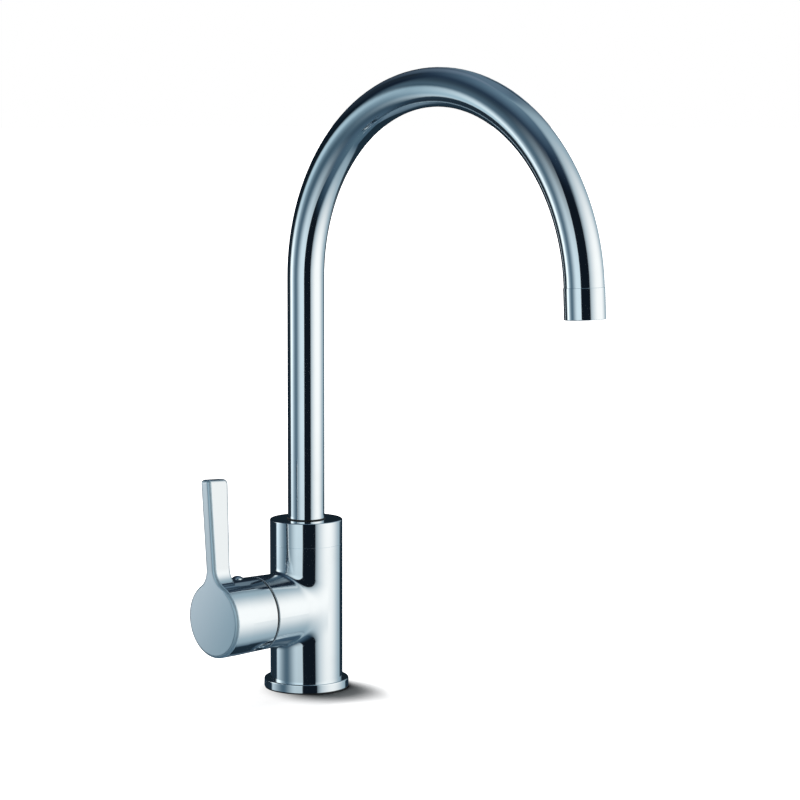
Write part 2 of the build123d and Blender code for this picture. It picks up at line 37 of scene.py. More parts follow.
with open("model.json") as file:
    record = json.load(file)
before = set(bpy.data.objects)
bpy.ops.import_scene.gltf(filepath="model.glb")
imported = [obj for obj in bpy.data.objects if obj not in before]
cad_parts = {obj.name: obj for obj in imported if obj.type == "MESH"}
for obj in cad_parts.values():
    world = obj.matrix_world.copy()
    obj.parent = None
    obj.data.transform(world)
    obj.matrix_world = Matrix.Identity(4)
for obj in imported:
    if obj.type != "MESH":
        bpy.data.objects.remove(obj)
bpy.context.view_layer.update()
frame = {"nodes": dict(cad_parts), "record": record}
nodes = frame["nodes"]

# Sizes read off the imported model.
BODY_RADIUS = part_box("tap_body")[1][0]
BARREL_HEIGHT = (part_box("cartridge_housing")[0][2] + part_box("cartridge_housing")[1][2]) / 2
TUBE_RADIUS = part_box("spout_tube")[1][0]
STUB_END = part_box("tap_body")[0][0]
# Millimetres in a metre, for the record's sizes.
MM_PER_M = 1000


# ------------------------------------------------------------------ settings
def angle(name, description, degrees):
    return FloatProperty(
        name=name, description=description, default=math.radians(degrees), subtype="ANGLE"
    )


def length(name, description, default):
    return FloatProperty(
        name=name, description=description, default=default, min=0.0, unit="LENGTH", precision=5
    )


def share(name, description, default, top=1.0):
    return FloatProperty(name=name, description=description, default=default, min=0.0, max=top)


def tint(name, description, default):
    return FloatVectorProperty(
        name=name,
        description=description,
        default=default,
        size=3,
        min=0.0,
        max=1.0,
        subtype="COLOR",
    )


class TapFinishSettings(bpy.types.PropertyGroup):
    """Colours and gloss of the tap's finishes."""

    chrome: tint("Chrome", "Colour of the plated surfaces", (0.85, 0.89, 0.915))
    chrome_roughness: share("Chrome roughness", "Gloss of clean plating", 0.055)
    smudge_roughness: share("Smudge roughness", "Gloss where the plating was handled", 0.11)
    # The brushed front's colours are painted light and shade: a light and a shade tone laid by
    # place, a darker painted-shade tone on the lever's front and a painted pale blue highlight on
    # the rounded edge.
    satin: tint("Satin", "Lit side of the handle's brushed front", (0.86, 0.865, 0.89))
    satin_shade: tint("Satin shade", "Shaded side of the brushed front", (0.52, 0.63, 0.69))
    satin_arm_shade: tint("Satin arm", "Brushed front of the narrow lever", (0.76, 0.77, 0.79))
    satin_edge_highlight: tint("Satin edge", "Rounded edge of the brushed front", (0.80, 0.94, 1.0))
    satin_roughness: share("Satin roughness", "Gloss of the handle's brushed front", 0.30)
    edge_roughness: share("Edge roughness", "Gloss of the front's rounded edge", 0.52)
    arm_roughness: share("Arm roughness", "Gloss of the lever's broad sides", 0.16)
    ripple: length("Ripple", "Height of the plating's slow waves", 0.00001)
    blend_top: length("Blend above", "Soft corner where the stub meets the body, above", 0.004)
    blend_side: length("Blend beside", "Soft corner where the stub meets the body, beside", 0.0064)
    brass: tint("Brass", "Colour of the turned brass", (0.72, 0.53, 0.27))
    steel: tint("Steel", "Colour of the stainless steel", (0.55, 0.56, 0.57))
    rubber: tint("Rubber", "Colour of the seals", (0.018, 0.018, 0.02))
    ceramic: tint("Ceramic", "Colour of the lapped discs", (0.82, 0.81, 0.77))
    grey_plastic: tint("Grey plastic", "Colour of the cartridge", (0.36, 0.37, 0.39))
    white_plastic: tint("White plastic", "Colour of the glide rings", (0.80, 0.80, 0.77))
    hose: tint("Hose", "Colour of the filtered water line", (0.72, 0.78, 0.80))


class TapStageSettings(bpy.types.PropertyGroup):
    """Camera, floor and studio dome."""

    azimuth: angle("Azimuth", "Direction of the camera round the tap", -43.434)
    elevation: angle("Elevation", "Height of the camera above the horizon", 6.522)
    roll: angle("Roll", "Turn of the camera round its own line of sight", 0.135)
    camera_distance: length("Distance", "Camera to the point it looks at", 1.7074)
    camera_side: length("Side", "Point looked at, right of the body's axis", 0.0618)
    camera_height: length("Height", "Point looked at, above the deck", 0.1914)
    lens: FloatProperty(name="Lens", description="Focal length", default=116.87, unit="CAMERA")
    dome_radius: length("Dome radius", "Size of the studio round the tap", 0.95)
    floor_size: length("Floor size", "Side of the floor", 60.0)
    fill: share("Fill", "Level of the soft light from all sides", 0.12, 2.0)
    # Painted light: the floor's white glow for the camera, kept off a circle round the tap's foot.
    floor_lift: share("Floor lift", "White added to the open floor as the camera sees it", 0.9)
    sun_strength: share("Sun strength", "Level of the soft light from above", 3.4, 10.0)
    sun_azimuth: angle(
        "Sun azimuth", "Way the shadows fall, from the picture's right towards the camera", 35.0
    )
    sun_elevation: angle("Sun elevation", "Height of the soft light above the horizon", 55.0)
    sun_angle: angle("Sun size", "Softness of the shadows", 25.0)


# ------------------------------------------------------------- shader helpers
def wired(tree, node, links):
    """The node with its inputs set. Links are input name or number to value or socket."""
    for key, value in links.items():
        if isinstance(value, bpy.types.NodeSocket):
            tree.links.new(value, node.inputs[key])
        else:
            node.inputs[key].default_value = value
    return node


def add(tree, kind, links=None, **settings):
    """New shader node with its inputs and its own settings."""
    node = tree.nodes.new(kind)
    for name, value in settings.items():
        setattr(node, name, value)
    return wired(tree, node, links or {})


def math_node(tree, operation, *values):
    return add(tree, "ShaderNodeMath", dict(enumerate(values)), operation=operation).outputs[0]


def vector_math(tree, operation, *values):
    node = add(tree, "ShaderNodeVectorMath", dict(enumerate(values)), operation=operation)
    return node.outputs["Value" if operation in ("LENGTH", "DOT_PRODUCT") else "Vector"]


def blend_vector(tree, factor, under, over):
    return add(tree, "ShaderNodeMix", {0: factor, 4: under, 5: over}, data_type="VECTOR").outputs[1]


def axes(tree, vector):
    return add(tree, "ShaderNodeSeparateXYZ", {0: vector}).outputs


def blend_colour(tree, factor, under, over):
    node = add(tree, "ShaderNodeMix", {0: factor, 6: under, 7: over}, data_type="RGBA")
    return node.outputs[2]


def blend_value(tree, factor, under, over):
    return add(tree, "ShaderNodeMix", {0: factor, 2: under, 3: over}, data_type="FLOAT").outputs[0]


def step(tree, value, low, high):
    """0 below low, 1 above high and smooth between; low may be above high."""
    links = {"Value": value, 1: low, 2: high}
    return add(tree, "ShaderNodeMapRange", links, interpolation_type="SMOOTHSTEP").outputs[0]


def noise(tree, vector, scale, detail=2.0, roughness=0.5):
    links = {"Vector": vector, "Scale": scale, "Detail": detail, "Roughness": roughness}
    return add(tree, "ShaderNodeTexNoise", links).outputs["Fac"]


def stretched(tree, vector, scale):
    links = {"Vector": vector, "Scale": scale}
    return add(tree, "ShaderNodeMapping", links).outputs["Vector"]


def new_group(name, inputs, outputs):
    """Node group with named sockets. Returns the group, its input and its output node."""
    group = bpy.data.node_groups.new(name, "ShaderNodeTree")
    for direction, sockets in (("INPUT", inputs), ("OUTPUT", outputs)):
        for socket_name, kind, default in sockets:
            socket = group.interface.new_socket(
                socket_name, in_out=direction, socket_type="NodeSocket" + kind
            )
            if default is not None:
                socket.default_value = default
    return group, group.nodes.new("NodeGroupInput"), group.nodes.new("NodeGroupOutput")


def placed(tree, group, links):
    """A group's node in a material, with its inputs set."""
    node = tree.nodes.new("ShaderNodeGroup")
    node.node_tree = group
    return wired(tree, node, links)


def rgba(colour, kept=1.0):
    """Colour with its alpha, or the kept share of that colour."""
    return (*[part * kept for part in colour], 1.0)


def once(maker):
    """Makes a node group on its first use, and gives the same group afterwards."""
    made = {}

    def give():
        if "group" not in made:
            made["group"] = maker()
        return made["group"]

    return give


# Length of the wiping scratches against their width, how much duller they are
# than a smudge, and how far a smudge changes the colour.
SCRATCH_STRETCH = (1.0, 1.0, 0.06)
SCRATCH_SHARE = 0.12
SMUDGE_TINT = 0.5


@once
def handled_metal():
    """Smudges, fine scratches and slow ripples of a metal that is touched and wiped."""
    group, given, out = new_group(
        "Handled metal",
        [
            ("Vector", "Vector", None),
            ("Clean Colour", "Color", None),
            ("Dull Colour", "Color", None),
            ("Clean Roughness", "Float", 0.07),
            ("Smudged Roughness", "Float", 0.13),
            ("Smudge Scale", "Float", 38.0),
            ("Scratch Scale", "Float", 900.0),
            ("Ripple Scale", "Float", 70.0),
        ],
        [("Color", "Color", None), ("Roughness", "Float", None), ("Height", "Float", None)],
    )
    at = given.outputs["Vector"]
    smears = noise(group, at, given.outputs["Smudge Scale"], detail=3.0, roughness=0.6)
    smudge = step(group, smears, low=0.45, high=0.72)
    thin = stretched(group, at, SCRATCH_STRETCH)
    hair = noise(group, thin, given.outputs["Scratch Scale"], roughness=0.6)
    scratch = step(group, hair, low=0.62, high=0.74)
    wear = math_node(group, "MULTIPLY", scratch, SCRATCH_SHARE)
    dull = math_node(group, "MAXIMUM", smudge, wear)
    rough = blend_value(
        group, dull, given.outputs["Clean Roughness"], given.outputs["Smudged Roughness"]
    )
    colour = blend_colour(
        group,
        math_node(group, "MULTIPLY", dull, SMUDGE_TINT),
        given.outputs["Clean Colour"],
        given.outputs["Dull Colour"],
    )
    ripple = noise(group, at, given.outputs["Ripple Scale"], detail=0.0)
    group.links.new(colour, out.inputs["Color"])
    group.links.new(rough, out.inputs["Roughness"])
    group.links.new(ripple, out.inputs["Height"])
    return group


@once
def turned_marks():
    """Fine rings that a lathe leaves round one axis, and tarnish between them."""
    group, given, out = new_group(
        "Turned marks",
        [("Vector", "Vector", None), ("Pitch", "Float", 0.0004), ("Tarnish Scale", "Float", 120.0)],
        [("Marks", "Float", None), ("Tarnish", "Float", None)],
    )
    at = given.outputs["Vector"]
    place_xyz = axes(group, at)
    wander = noise(group, at, scale=90.0)
    along = math_node(group, "ADD", place_xyz["X"], place_xyz["Z"])
    turns = math_node(group, "DIVIDE", along, given.outputs["Pitch"])
    phase = math_node(group, "MULTIPLY_ADD", turns, 2 * math.pi, wander)
    marks = math_node(group, "MULTIPLY_ADD", math_node(group, "SINE", phase), 0.5, 0.5)
    stains = noise(group, at, given.outputs["Tarnish Scale"], detail=4.0, roughness=0.65)
    tarnish = step(group, stains, low=0.48, high=0.7)
    group.links.new(marks, out.inputs["Marks"])
    group.links.new(tarnish, out.inputs["Tarnish"])
    return group


# How much dust the grain's specks hold, and the grain's height beside the mottle's.
SPECK_SHARE = 0.35
GRAIN_HEIGHT = 0.3


@once
def moulded():
    """Mottling, dust in the low spots and fine texture of rubber, plastic and ceramic."""
    group, given, out = new_group(
        "Moulded surface",
        [
            ("Vector", "Vector", None),
            ("Colour", "Color", None),
            ("Dusty Colour", "Color", None),
            ("Clean Roughness", "Float", 0.4),
            ("Dusty Roughness", "Float", 0.6),
            ("Mottle Scale", "Float", 160.0),
            ("Grain Scale", "Float", 2400.0),
        ],
        [("Color", "Color", None), ("Roughness", "Float", None), ("Height", "Float", None)],
    )
    at = given.outputs["Vector"]
    mottle = noise(group, at, given.outputs["Mottle Scale"], detail=4.0, roughness=0.6)
    grain = noise(group, at, given.outputs["Grain Scale"], roughness=0.6)
    dust = step(group, mottle, low=0.42, high=0.74)
    speck = math_node(group, "MULTIPLY", step(group, grain, low=0.6, high=0.8), SPECK_SHARE)
    cover = math_node(group, "MAXIMUM", dust, speck)
    colour = blend_colour(group, cover, given.outputs["Colour"], given.outputs["Dusty Colour"])
    rough = blend_value(
        group, cover, given.outputs["Clean Roughness"], given.outputs["Dusty Roughness"]
    )
    height = math_node(group, "MULTIPLY_ADD", grain, GRAIN_HEIGHT, mottle)
    group.links.new(colour, out.inputs["Color"])
    group.links.new(rough, out.inputs["Roughness"])
    group.links.new(height, out.inputs["Height"])
    return group


# Distance from the stub's upright plane over which the soft corner turns from
# its width above to its width beside.
JUNCTION_SIDE = (0.012, 0.022)
# The soft corner's outer end, as shares of its width, how deep under the surface
# it may lie, and where it starts left of the body's axis.
JUNCTION_END = (1.0, 0.96)
JUNCTION_SKIN = (-0.0004, -0.0002)
JUNCTION_LEFT = (-0.001, -0.003)


@once
def cast_junction():
    """Soft normals where the barrel's stub grows out of the round body.

    The body stands round the Z axis. The stub lies along -X at its own height.
    """
    group, given, out = new_group(
        "Cast junction",
        [
            ("Vector", "Vector", None),
            ("Normal", "Vector", None),
            ("Body Radius", "Float", 0.024),
            ("Stub Radius", "Float", 0.0234),
            ("Stub Slope", "Float", 0.018),
            ("Stub Height", "Float", 0.0547),
            ("Blend Above", "Float", 0.0022),
            ("Blend Beside", "Float", 0.0034),
        ],
        [("Normal", "Vector", None)],
    )
    at = given.outputs["Vector"]
    place_xyz = axes(group, at)
    slope = given.outputs["Stub Slope"]
    centre = add(group, "ShaderNodeCombineXYZ", {"Z": given.outputs["Stub Height"]}).outputs[0]
    from_body = vector_math(group, "MULTIPLY", at, (1.0, 1.0, 0.0))
    offset = vector_math(group, "SUBTRACT", at, centre)
    from_stub = vector_math(group, "MULTIPLY", offset, (0.0, 1.0, 1.0))
    # Distance outside each of the two round shapes.
    body_gap = math_node(
        group, "SUBTRACT", vector_math(group, "LENGTH", from_body), given.outputs["Body Radius"]
    )
    outwards = math_node(group, "MULTIPLY", place_xyz["X"], -1.0)
    stub_r = math_node(group, "MULTIPLY_ADD", outwards, slope, given.outputs["Stub Radius"])
    stub_gap = math_node(group, "SUBTRACT", vector_math(group, "LENGTH", from_stub), stub_r)
    side = step(group, math_node(group, "ABSOLUTE", place_xyz["Y"]), *JUNCTION_SIDE)
    width = blend_value(group, side, given.outputs["Blend Above"], given.outputs["Blend Beside"])
    apart = math_node(group, "DIVIDE", math_node(group, "SUBTRACT", body_gap, stub_gap), width)
    body_normal = vector_math(group, "NORMALIZE", from_body)
    lean = add(group, "ShaderNodeCombineXYZ", {"X": slope}).outputs[0]
    stub_normal = vector_math(group, "ADD", vector_math(group, "NORMALIZE", from_stub), lean)
    soft = blend_vector(group, step(group, apart, -1.0, 1.0), body_normal, stub_normal)
    # Only on the outer skin, close to the crease.
    skin = step(group, math_node(group, "MINIMUM", body_gap, stub_gap), *JUNCTION_SKIN)
    near = step(group, math_node(group, "ABSOLUTE", apart), *JUNCTION_END)
    outside = step(group, place_xyz["X"], *JUNCTION_LEFT)
    mask = math_node(group, "MULTIPLY", math_node(group, "MULTIPLY", skin, near), outside)
    own = given.outputs["Normal"]
    result = blend_vector(group, mask, own, vector_math(group, "NORMALIZE", soft))
    group.links.new(vector_math(group, "NORMALIZE", result), out.inputs["Normal"])
    return group


PANEL_SIDES = ("Left", "Right", "Bottom", "Top")


@once
def soft_panel():
    """Rectangle of light on the studio dome, with its own softness at each side."""
    group, given, out = new_group(
        "Soft panel",
        [("Azimuth", "Float", 0.0), ("Elevation", "Float", 0.0)]
        + [("Under", "Color", None), ("Colour", "Color", None)]
        + [(side, "Float", 0.0) for side in PANEL_SIDES]
        + [(side + " Softness", "Float", 10.0) for side in PANEL_SIDES],
        [("Color", "Color", None)],
    )
    mask = 1.0
    for side in PANEL_SIDES:
        along = given.outputs["Azimuth" if side in ("Left", "Right") else "Elevation"]
        half = math_node(group, "MULTIPLY", given.outputs[side + " Softness"], 0.5)
        outer = "SUBTRACT" if side in ("Left", "Bottom") else "ADD"
        inner = "ADD" if side in ("Left", "Bottom") else "SUBTRACT"
        start = math_node(group, outer, given.outputs[side], half)
        end = math_node(group, inner, given.outputs[side], half)
        mask = math_node(group, "MULTIPLY", mask, step(group, along, start, end))
    colour = blend_colour(group, mask, given.outputs["Under"], given.outputs["Colour"])
    group.links.new(colour, out.inputs["Color"])
    return group


GLOW_INPUTS = ("Middle", "Level", "Half Width", "Half Height", "Softness")


@once
def lamp_glow():
    """Oval of light on the studio dome that fades outwards."""
    group, given, out = new_group(
        "Lamp glow",
        [("Azimuth", "Float", 0.0), ("Elevation", "Float", 0.0)]
        + [("Under", "Color", None), ("Colour", "Color", None)]
        + [(name, "Float", 1.0) for name in GLOW_INPUTS],
        [("Color", "Color", None)],
    )
    parts = []
    for along, middle, half in (
        ("Azimuth", "Middle", "Half Width"),
        ("Elevation", "Level", "Half Height"),
    ):
        offset = math_node(group, "SUBTRACT", given.outputs[along], given.outputs[middle])
        part = math_node(group, "DIVIDE", offset, given.outputs[half])
        parts.append(math_node(group, "MULTIPLY", part, part))
    distance = math_node(group, "SQRT", math_node(group, "ADD", *parts))
    half = math_node(group, "MULTIPLY", given.outputs["Softness"], 0.5)
    mask = step(
        group,
        distance,
        math_node(group, "ADD", 1.0, half),
        math_node(group, "SUBTRACT", 1.0, half),
    )
    colour = blend_colour(group, mask, given.outputs["Under"], given.outputs["Colour"])
    group.links.new(colour, out.inputs["Color"])
    return group


# ------------------------------------------------------------------ materials
def new_material(name):
    material = bpy.data.materials.new(name)
    material.use_nodes = True
    tree = material.node_tree
    tree.nodes.clear()
    out = tree.nodes.new("ShaderNodeOutputMaterial")
    return material, tree, out


def surface(tree, out, links):
    """Principled shader on the material's output."""
    shader = add(tree, "ShaderNodeBsdfPrincipled", links)
    tree.links.new(shader.outputs["BSDF"], out.inputs["Surface"])


def place(tree):
    return add(tree, "ShaderNodeTexCoord").outputs["Object"]


def metal_marks(tree, at, clean, dull, clean_roughness, dull_roughness, smudge_scale=38.0):
    """Handled metal of a colour; the node's outputs are Color, Roughness and Height."""
    links = {
        "Vector": at,
        "Clean Colour": clean,
        "Dull Colour": dull,
        "Clean Roughness": clean_roughness,
        "Smudged Roughness": dull_roughness,
        "Smudge Scale": smudge_scale,
    }
    return placed(tree, handled_metal(), links)


def bumped(tree, height, distance, normal=None):
    links = {"Height": height, "Distance": distance, "Strength": 1.0}
    if normal is not None:
        links["Normal"] = normal
    return add(tree, "ShaderNodeBump", links).outputs["Normal"]


# Share of the plating's colour that a smudge leaves.
SMUDGED_CHROME = 0.93


def plate(name, ripple_share=1.0, detail=None):
    """Chrome plate. Detail may change the look's colour or gloss and give a normal."""
    finish = bpy.context.scene.tap_finish
    material, tree, out = new_material(name)
    at = place(tree)
    dull = rgba(finish.chrome, SMUDGED_CHROME)
    metal = metal_marks(
        tree, at, rgba(finish.chrome), dull, finish.chrome_roughness, finish.smudge_roughness
    )
    look = {"Base Color": metal.outputs["Color"], "Roughness": metal.outputs["Roughness"]}
    normal = detail(tree, at, look, finish) if detail else None
    look["Normal"] = bumped(tree, metal.outputs["Height"], finish.ripple * ripple_share, normal)
    look["Metallic"] = 1.0
    surface(tree, out, look)
    return material


# X of the handle's normals at which the brushed front fades in, and those at
# which its rounded edge's gloss and painted highlight fade in and, flat on, out again.
FRONT_FACING = (-0.02, -0.2)
EDGE_FACING_IN = (-0.03, -0.22)
EDGE_FACING_OUT = (-0.985, -0.93)
# Height above the barrel's axis over which the lever's look takes over, and the
# share of the plating's colour kept on the lever's broad sides, which makes them darker.
ARM_START = 0.028
ARM_END = 0.034
ARM_TONE = 0.91
# The brushing's strokes: length against width, scale, and how much they move
# the gloss and the place of the front's painted light and shade.
BRUSH_STRETCH = (1.0, 1.0, 0.05)
BRUSH_SCALE = 1800.0
BRUSH_GLOSS = 0.03
BRUSH_PAINTED_LIGHT_SHIFT = 0.006
# The front's painted light turns from the shade tone to the light tone between
# these places along Y, and each metre of height counts as this much of Y.
PAINTED_LIGHT_PLACES = (-0.034, 0.036)
PAINTED_LIGHT_RISE = 0.45


def satin_front(tree, at, look, finish):
    """Brushed satin, with painted light, shade and edge highlight, on what faces outwards; softer
    gloss on the lever's broad sides.
    """
    facing = axes(tree, add(tree, "ShaderNodeTexCoord").outputs["Normal"])["X"]
    front = step(tree, facing, *FRONT_FACING)
    grain = noise(tree, stretched(tree, at, BRUSH_STRETCH), BRUSH_SCALE, detail=3.0)
    gloss = finish.satin_roughness
    shine = blend_value(tree, grain, gloss - BRUSH_GLOSS, gloss + BRUSH_GLOSS)
    place_xyz = axes(tree, at)
    height = math_node(tree, "SUBTRACT", place_xyz["Z"], BARREL_HEIGHT)
    arm = step(tree, height, ARM_START, ARM_END)
    rough = blend_value(tree, arm, look["Roughness"], finish.arm_roughness)
    rough = blend_value(tree, front, rough, shine)
    edge = step(tree, facing, *EDGE_FACING_IN)
    edge = math_node(tree, "MULTIPLY", edge, step(tree, facing, *EDGE_FACING_OUT))
    look["Roughness"] = blend_value(tree, edge, rough, finish.edge_roughness)
    # Painted light and shade: the brushed front's colour is lighter towards the tip and the far
    # side.
    painted_lit = math_node(tree, "MULTIPLY_ADD", height, PAINTED_LIGHT_RISE, place_xyz["Y"])
    painted_lit = math_node(tree, "MULTIPLY_ADD", grain, BRUSH_PAINTED_LIGHT_SHIFT, painted_lit)
    tone = blend_colour(
        tree, step(tree, painted_lit, *PAINTED_LIGHT_PLACES), rgba(finish.satin_shade), rgba(finish.satin)
    )
    # Painted shade: the lever's front takes its own darker tone in place of the front's light and
    # shade.
    tone = blend_colour(tree, arm, tone, rgba(finish.satin_arm_shade))
    broad = blend_colour(tree, arm, look["Base Color"], rgba(finish.chrome, ARM_TONE))
    # Painted highlight: the front's rounded edge takes a pale blue-white colour.
    tone = blend_colour(tree, edge, tone, rgba(finish.satin_edge_highlight))
    look["Base Color"] = blend_colour(tree, front, broad, tone)


# Thickness of the body's plated skin that hides its bare inside.
SKIN = 0.0012
# Where the stub's bore begins, left of the body's axis.
BORE_START = (-0.022, -0.024)
# The stub's machined rim beside the handle's seam: its depth, how softly it
# begins and its gloss.
RIM_DEPTH = 0.0005
RIM_FADE = 0.0001
RIM_ROUGHNESS = 0.5
# Gloss of the bare brass between and on the lathe's marks, and the share of its
# colour that tarnish leaves.
BORE_ROUGHNESS = (0.26, 0.38)
BORE_TARNISH = 0.6


def casting(tree, at, look, finish):
    """Bare brass inside the body, and a soft corner where the stub meets it."""
    place_xyz = axes(tree, at)
    marks = placed(tree, turned_marks(), {"Vector": at})
    radius = vector_math(tree, "LENGTH", vector_math(tree, "MULTIPLY", at, (1.0, 1.0, 0.0)))
    inside = step(tree, radius, BODY_RADIUS - SKIN / 2, BODY_RADIUS - SKIN)
    offset = vector_math(tree, "SUBTRACT", at, (0.0, 0.0, BARREL_HEIGHT))
    from_stub = vector_math(tree, "LENGTH", vector_math(tree, "MULTIPLY", offset, (0.0, 1.0, 1.0)))
    bore = step(tree, from_stub, BODY_RADIUS - SKIN / 2, BODY_RADIUS - SKIN)
    bore = math_node(tree, "MULTIPLY", bore, step(tree, place_xyz["X"], *BORE_START))
    inside = math_node(tree, "MAXIMUM", inside, bore)
    # The stub's rim is plated too, but left matt from the lathe.
    rim_start = STUB_END + RIM_DEPTH
    rim = step(tree, place_xyz["X"], rim_start + RIM_FADE, rim_start)
    inside = math_node(tree, "MULTIPLY", inside, math_node(tree, "SUBTRACT", 1.0, rim))
    tarnished = rgba(finish.brass, BORE_TARNISH)
    bare = blend_colour(tree, marks.outputs["Tarnish"], rgba(finish.brass), tarnished)
    look["Base Color"] = blend_colour(tree, inside, look["Base Color"], bare)
    lathed = blend_value(tree, marks.outputs["Marks"], *BORE_ROUGHNESS)
    rough = blend_value(tree, rim, look["Roughness"], RIM_ROUGHNESS)
    look["Roughness"] = blend_value(tree, inside, rough, lathed)
    soft = placed(
        tree,
        cast_junction(),
        {
            "Vector": at,
            "Normal": add(tree, "ShaderNodeNewGeometry").outputs["Normal"],
            "Blend Above": finish.blend_top,
            "Blend Beside": finish.blend_side,
        },
    )
    return soft.outputs["Normal"]


# Bare metal: the shares of its colour that smudges and tarnish leave, how much
# of the tarnish shows, what smudges and lathe marks add to its roughness, and
# the smudges' scale.
SMUDGED_METAL = 0.72
TARNISHED_METAL = 0.5
TARNISH_SHARE = 0.55
METAL_SMUDGE_GLOSS = 0.14
METAL_MARK_GLOSS = 0.08
METAL_SMUDGE_SCALE = 150.0


def bare_metal(name, colour, clean_roughness, mark_depth, pitch):
    """Turned metal without plate."""
    material, tree, out = new_material(name)
    at = place(tree)
    marks = placed(tree, turned_marks(), {"Vector": at, "Pitch": pitch})
    metal = metal_marks(
        tree,
        at,
        rgba(colour),
        rgba(colour, SMUDGED_METAL),
        clean_roughness,
        clean_roughness + METAL_SMUDGE_GLOSS,
        METAL_SMUDGE_SCALE,
    )
    tarnish = math_node(tree, "MULTIPLY", marks.outputs["Tarnish"], TARNISH_SHARE)
    tarnished = rgba(colour, TARNISHED_METAL)
    clean = metal.outputs["Roughness"]
    rough = math_node(tree, "MULTIPLY_ADD", marks.outputs["Marks"], METAL_MARK_GLOSS, clean)
    look = {
        "Base Color": blend_colour(tree, tarnish, metal.outputs["Color"], tarnished),
        "Roughness": rough,
        "Metallic": 1.0,
        "Normal": bumped(tree, marks.outputs["Marks"], mark_depth),
    }
    surface(tree, out, look)
    return material


def moulding(name, colour, dusty, roughness, dusty_roughness, depth, mottle=160.0):
    """Rubber, plastic or ceramic."""
    material, tree, out = new_material(name)
    skin = placed(
        tree,
        moulded(),
        {
            "Vector": place(tree),
            "Colour": rgba(colour),
            "Dusty Colour": rgba(dusty),
            "Clean Roughness": roughness,
            "Dusty Roughness": dusty_roughness,
            "Mottle Scale": mottle,
        },
    )
    look = {
        "Base Color": skin.outputs["Color"],
        "Roughness": skin.outputs["Roughness"],
        "Normal": bumped(tree, skin.outputs["Height"], depth),
    }
    surface(tree, out, look)
    return material


PLATED = (
    "spout_collar",
    "base_ring",
    "outlet_collar",
    "index_cap",
    "aerator_housing",
    "filter_nozzle",
)
SEALS = (
    "base_seal",
    "port_seals",
    "spindle_seal",
    "spout_seal_1",
    "spout_seal_2",
    "aerator_washer",
    "plug_seal",
)
GREY_MOULDINGS = ("cartridge_base", "cartridge_housing")
WHITE_MOULDINGS = ("lower_glide_ring", "upper_glide_ring", "disc_carrier", "flow_straightener")
# What dust adds to a plastic's roughness, and the height of the plastic's grain.
PLASTIC_DUST_GLOSS = 0.18
PLASTIC_GRAIN = 0.00002
# Dust on the black rubber, added to its colour, and on the ceramic, as the share
# of its colour that is left.
RUBBER_DUST = 0.035
CERAMIC_DUST = 0.86
# How much higher the ripples of the long tube stand than those of short parts.
TUBE_RIPPLE = 1.5


def dress(node, material):
    """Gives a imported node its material."""
    mesh = nodes[node].data
    mesh.materials.clear()
    mesh.materials.append(material)


# ------------------------------------------------------------------ operators
class TAP_OT_plated(bpy.types.Operator):
    """Plated outside parts: body, base ring, collars, spout, handle, cap and outlet"""

    bl_idname = "tap.plated"
    bl_label = "Plated parts"

    def execute(self, context):
        polished = plate("Polished chrome")
        for node in PLATED:
            dress(node, polished)
        dress("spout_tube", plate("Polished chrome tube", TUBE_RIPPLE))
        dress("tap_body", plate("Chromed casting", detail=casting))
        dress("handle", plate("Chrome with a satin front", detail=satin_front))
        return {"FINISHED"}


class TAP_OT_bare_metal(bpy.types.Operator):
    """Brass and stainless steel parts without plate"""

    bl_idname = "tap.bare_metal"
    bl_label = "Brass and steel"

    def execute(self, context):
        finish = context.scene.tap_finish
        brass = bare_metal(
            "Turned brass", finish.brass, clean_roughness=0.24, mark_depth=0.000012, pitch=0.0005
        )
        for node in ("cartridge_nut", "cartridge_spindle", "spout_bush", "filter_plug"):
            dress(node, brass)
        steel = bare_metal(
            "Stainless steel", finish.steel, clean_roughness=0.28, mark_depth=0.000006, pitch=0.0003
        )
        for node in ("grub_screw", "aerator_screen"):
            dress(node, steel)
        return {"FINISHED"}


class TAP_OT_seals(bpy.types.Operator):
    """Rubber seals of the deck, the ports, the spindle, the spout and the aerator"""

    bl_idname = "tap.seals"
    bl_label = "Seals"

    def execute(self, context):
        colour = context.scene.tap_finish.rubber
        rubber = moulding(
            "Seal rubber",
            colour,
            [c + RUBBER_DUST for c in colour],
            roughness=0.46,
            dusty_roughness=0.66,
            depth=0.00003,
            mottle=260.0,
        )
        for node in SEALS:
            dress(node, rubber)
        return {"FINISHED"}


class TAP_OT_ceramic(bpy.types.Operator):
    """Two lapped ceramic discs of the cartridge"""

    bl_idname = "tap.ceramic"
    bl_label = "Ceramic discs"

    def execute(self, context):
        colour = context.scene.tap_finish.ceramic
        ceramic = moulding(
            "Lapped ceramic",
            colour,
            [c * CERAMIC_DUST for c in colour],
            roughness=0.16,
            dusty_roughness=0.3,
            depth=0.000004,
            mottle=420.0,
        )
        for node in ("fixed_ceramic_disc", "moving_ceramic_disc"):
            dress(node, ceramic)
        return {"FINISHED"}


class TAP_OT_mouldings(bpy.types.Operator):
    """Plastic cartridge, glide rings, disc carrier, flow straightener and inner line"""

    bl_idname = "tap.mouldings"
    bl_label = "Plastic mouldings"

    def execute(self, context):
        finish = context.scene.tap_finish
        kinds = (
            ("Grey plastic", finish.grey_plastic, 0.8, 0.42, GREY_MOULDINGS),
            ("White plastic", finish.white_plastic, 0.86, 0.38, WHITE_MOULDINGS),
            ("Food hose", finish.hose, 0.9, 0.3, ("filter_line",)),
        )
        for name, colour, dust_share, roughness, parts in kinds:
            dusty = [c * dust_share for c in colour]
            dusty_roughness = roughness + PLASTIC_DUST_GLOSS
            plastic = moulding(name, colour, dusty, roughness, dusty_roughness, PLASTIC_GRAIN)
            for node in parts:
                dress(node, plastic)
        return {"FINISHED"}


